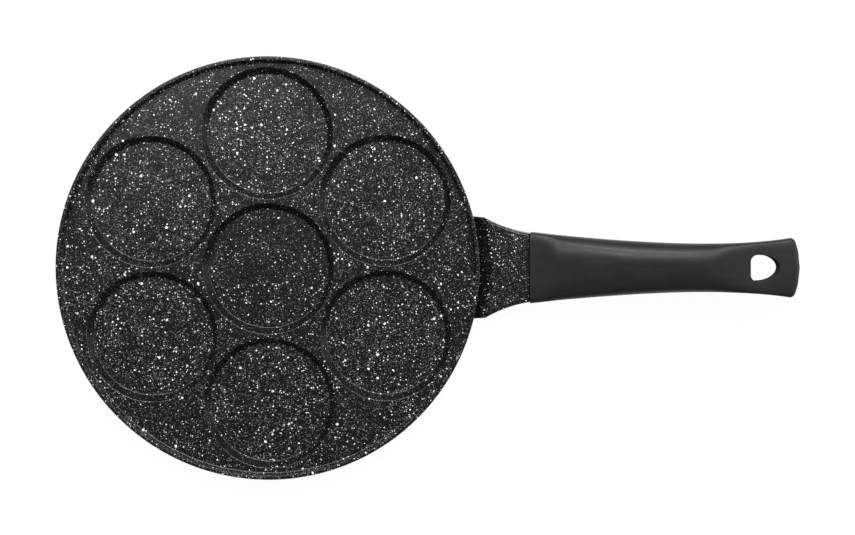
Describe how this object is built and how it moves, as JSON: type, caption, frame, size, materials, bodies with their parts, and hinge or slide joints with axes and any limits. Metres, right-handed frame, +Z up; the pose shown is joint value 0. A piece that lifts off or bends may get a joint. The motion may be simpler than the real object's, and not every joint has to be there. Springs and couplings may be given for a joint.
{
  "type": "pancake pan",
  "caption": "Round cast frying pan with shallow flat round wells for small pancakes, a cast-in neck and a long moulded grip with a hanging hole.",
  "frame": {"origin": "centre of the round pan on the underside of its base", "axes": "+Z up out of the wells, +X along the handle away from the pan"},
  "size_m": [0.4543, 0.26, 0.0351],
  "materials": {
    "coated_casting": "matte",
    "disc_steel": "satin",
    "grip_phenolic": "satin",
    "screw_steel": "satin"
  },
  "bodies": {
    "root": {"pan_casting": "coated_casting", "induction_disc": "disc_steel", "handle": "grip_phenolic", "handle_screw": "screw_steel", "spring_washer": "screw_steel", "flat_washer": "screw_steel"}
  },
  "joints": []
}
